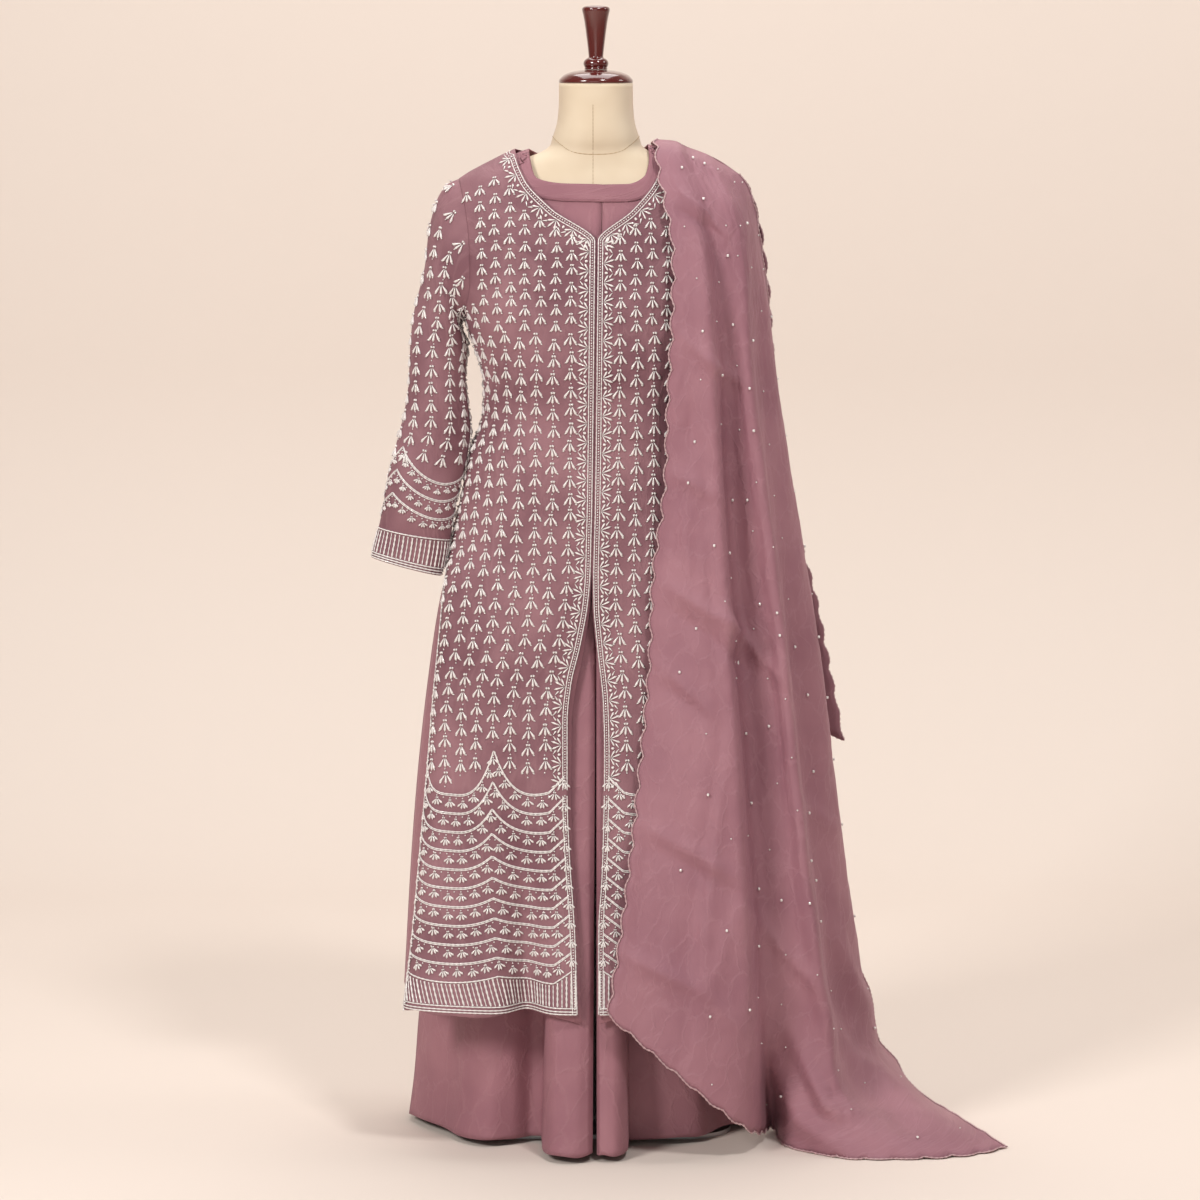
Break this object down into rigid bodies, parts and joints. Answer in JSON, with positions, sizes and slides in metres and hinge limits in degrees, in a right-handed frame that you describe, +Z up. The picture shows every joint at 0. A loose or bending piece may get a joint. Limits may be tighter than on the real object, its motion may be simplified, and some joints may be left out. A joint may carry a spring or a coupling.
{
  "type": "salwar kameez suit on a dress form",
  "caption": "Beaded open-front long kameez over a plain slip, wide palazzo trousers and a dupatta over one shoulder, on a limbless dress form with a flat base.",
  "frame": {"origin": "centre of the stand base's underside", "axes": "+Z up, -Y the way the garment faces, -X the wearer's right"},
  "size_m": [0.879, 0.4345, 1.5758],
  "materials": {
    "kameez_georgette": "mauve georgette, fine crepe weave",
    "beads": "silver-white glass bugle and seed beads",
    "slip_crepe": "plain mauve crepe",
    "palazzo_crepe": "plain mauve crepe with soft crinkles",
    "dupatta_organza": "thin mauve crinkled cloth",
    "form_cover": "cream stretched cloth cover",
    "mahogany": "dark red lacquered turned wood",
    "stand_steel": "brushed steel"
  },
  "bodies": {
    "root": {"form_torso": "form_cover", "neck_cap": "mahogany", "finial": "mahogany", "stand_post": "stand_steel", "post_collar": "stand_steel", "stand_base": "stand_steel", "kameez_front_right": "kameez_georgette", "kameez_front_left": "kameez_georgette", "kameez_back": "kameez_georgette", "sleeve_right": "kameez_georgette", "sleeve_left": "kameez_georgette", "kameez_border_right": "beads", "kameez_border_left": "beads", "kameez_border_back_neck": "beads", "slip_front_right": "slip_crepe", "slip_front_left": "slip_crepe", "slip_back": "slip_crepe", "slip_neck_facing": "slip_crepe", "palazzo_front_right": "palazzo_crepe", "palazzo_front_left": "palazzo_crepe", "palazzo_back_right": "palazzo_crepe", "palazzo_back_left": "palazzo_crepe", "palazzo_waistband": "palazzo_crepe", "dupatta_front": "dupatta_organza", "dupatta_back": "dupatta_organza"}
  },
  "joints": []
}
